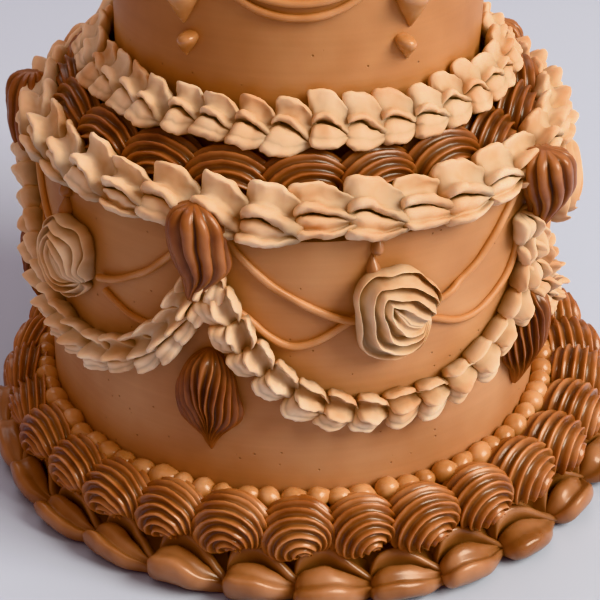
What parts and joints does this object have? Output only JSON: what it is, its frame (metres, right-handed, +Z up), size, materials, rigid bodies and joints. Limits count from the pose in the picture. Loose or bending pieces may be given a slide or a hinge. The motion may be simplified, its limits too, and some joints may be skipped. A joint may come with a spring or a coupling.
{
  "type": "layer cake",
  "caption": "Tall two-tier round cake with smooth icing and piped decoration: ruffle and shell borders, hanging swags with strings, rosettes, drops and a beaded foot",
  "frame": {"origin": "centre of the flat underside of the lower tier, on the surface the cake stands on", "axes": "+Z up along the cake's centre line; -Y towards the viewer of the picture; +X to the viewer's right"},
  "size_m": [0.2888, 0.2888, 0.2853],
  "materials": {
    "tier_icing": "smooth caramel buttercream, satin, with faint scraper streaks and pinholes",
    "pale_icing": "pale tan buttercream, soft matte, piped in ruffles and rosettes",
    "dark_icing": "dark chocolate buttercream, satin sheen, piped in ribbed shells",
    "pearl_icing": "warm brown buttercream, smooth satin beads and drops",
    "petal_icing": "milk chocolate buttercream, smooth satin petals"
  },
  "bodies": {
    "root": {"lower_tier": "tier_icing", "upper_tier": "tier_icing", "base_petals": "petal_icing", "base_shells": "dark_icing", "pearl_border": "pearl_icing", "ledge_shells": "dark_icing", "rim_ruffle": "pale_icing", "collar_ruffle": "pale_icing", "top_ruffle": "pale_icing", "swag_ruffle_1": "pale_icing", "swag_ruffle_2": "pale_icing", "swag_ruffle_3": "pale_icing", "swag_ruffle_4": "pale_icing", "swag_ruffle_5": "pale_icing", "rosette_1": "pale_icing", "rosette_2": "pale_icing", "rosette_3": "pale_icing", "rosette_4": "pale_icing", "rosette_5": "pale_icing", "rosette_drops_1": "pearl_icing", "rosette_drops_2": "pearl_icing", "rosette_drops_3": "pearl_icing", "rosette_drops_4": "pearl_icing", "rosette_drops_5": "pearl_icing", "swag_shell_1": "dark_icing", "swag_shell_2": "dark_icing", "swag_shell_3": "dark_icing", "swag_shell_4": "dark_icing", "swag_shell_5": "dark_icing", "low_shell_1": "dark_icing", "low_shell_2": "dark_icing", "low_shell_3": "dark_icing", "low_shell_4": "dark_icing", "low_shell_5": "dark_icing", "drop_cluster_1": "pearl_icing", "drop_cluster_2": "pearl_icing", "drop_cluster_3": "pearl_icing", "drop_cluster_4": "pearl_icing", "drop_cluster_5": "pearl_icing"}
  },
  "joints": []
}
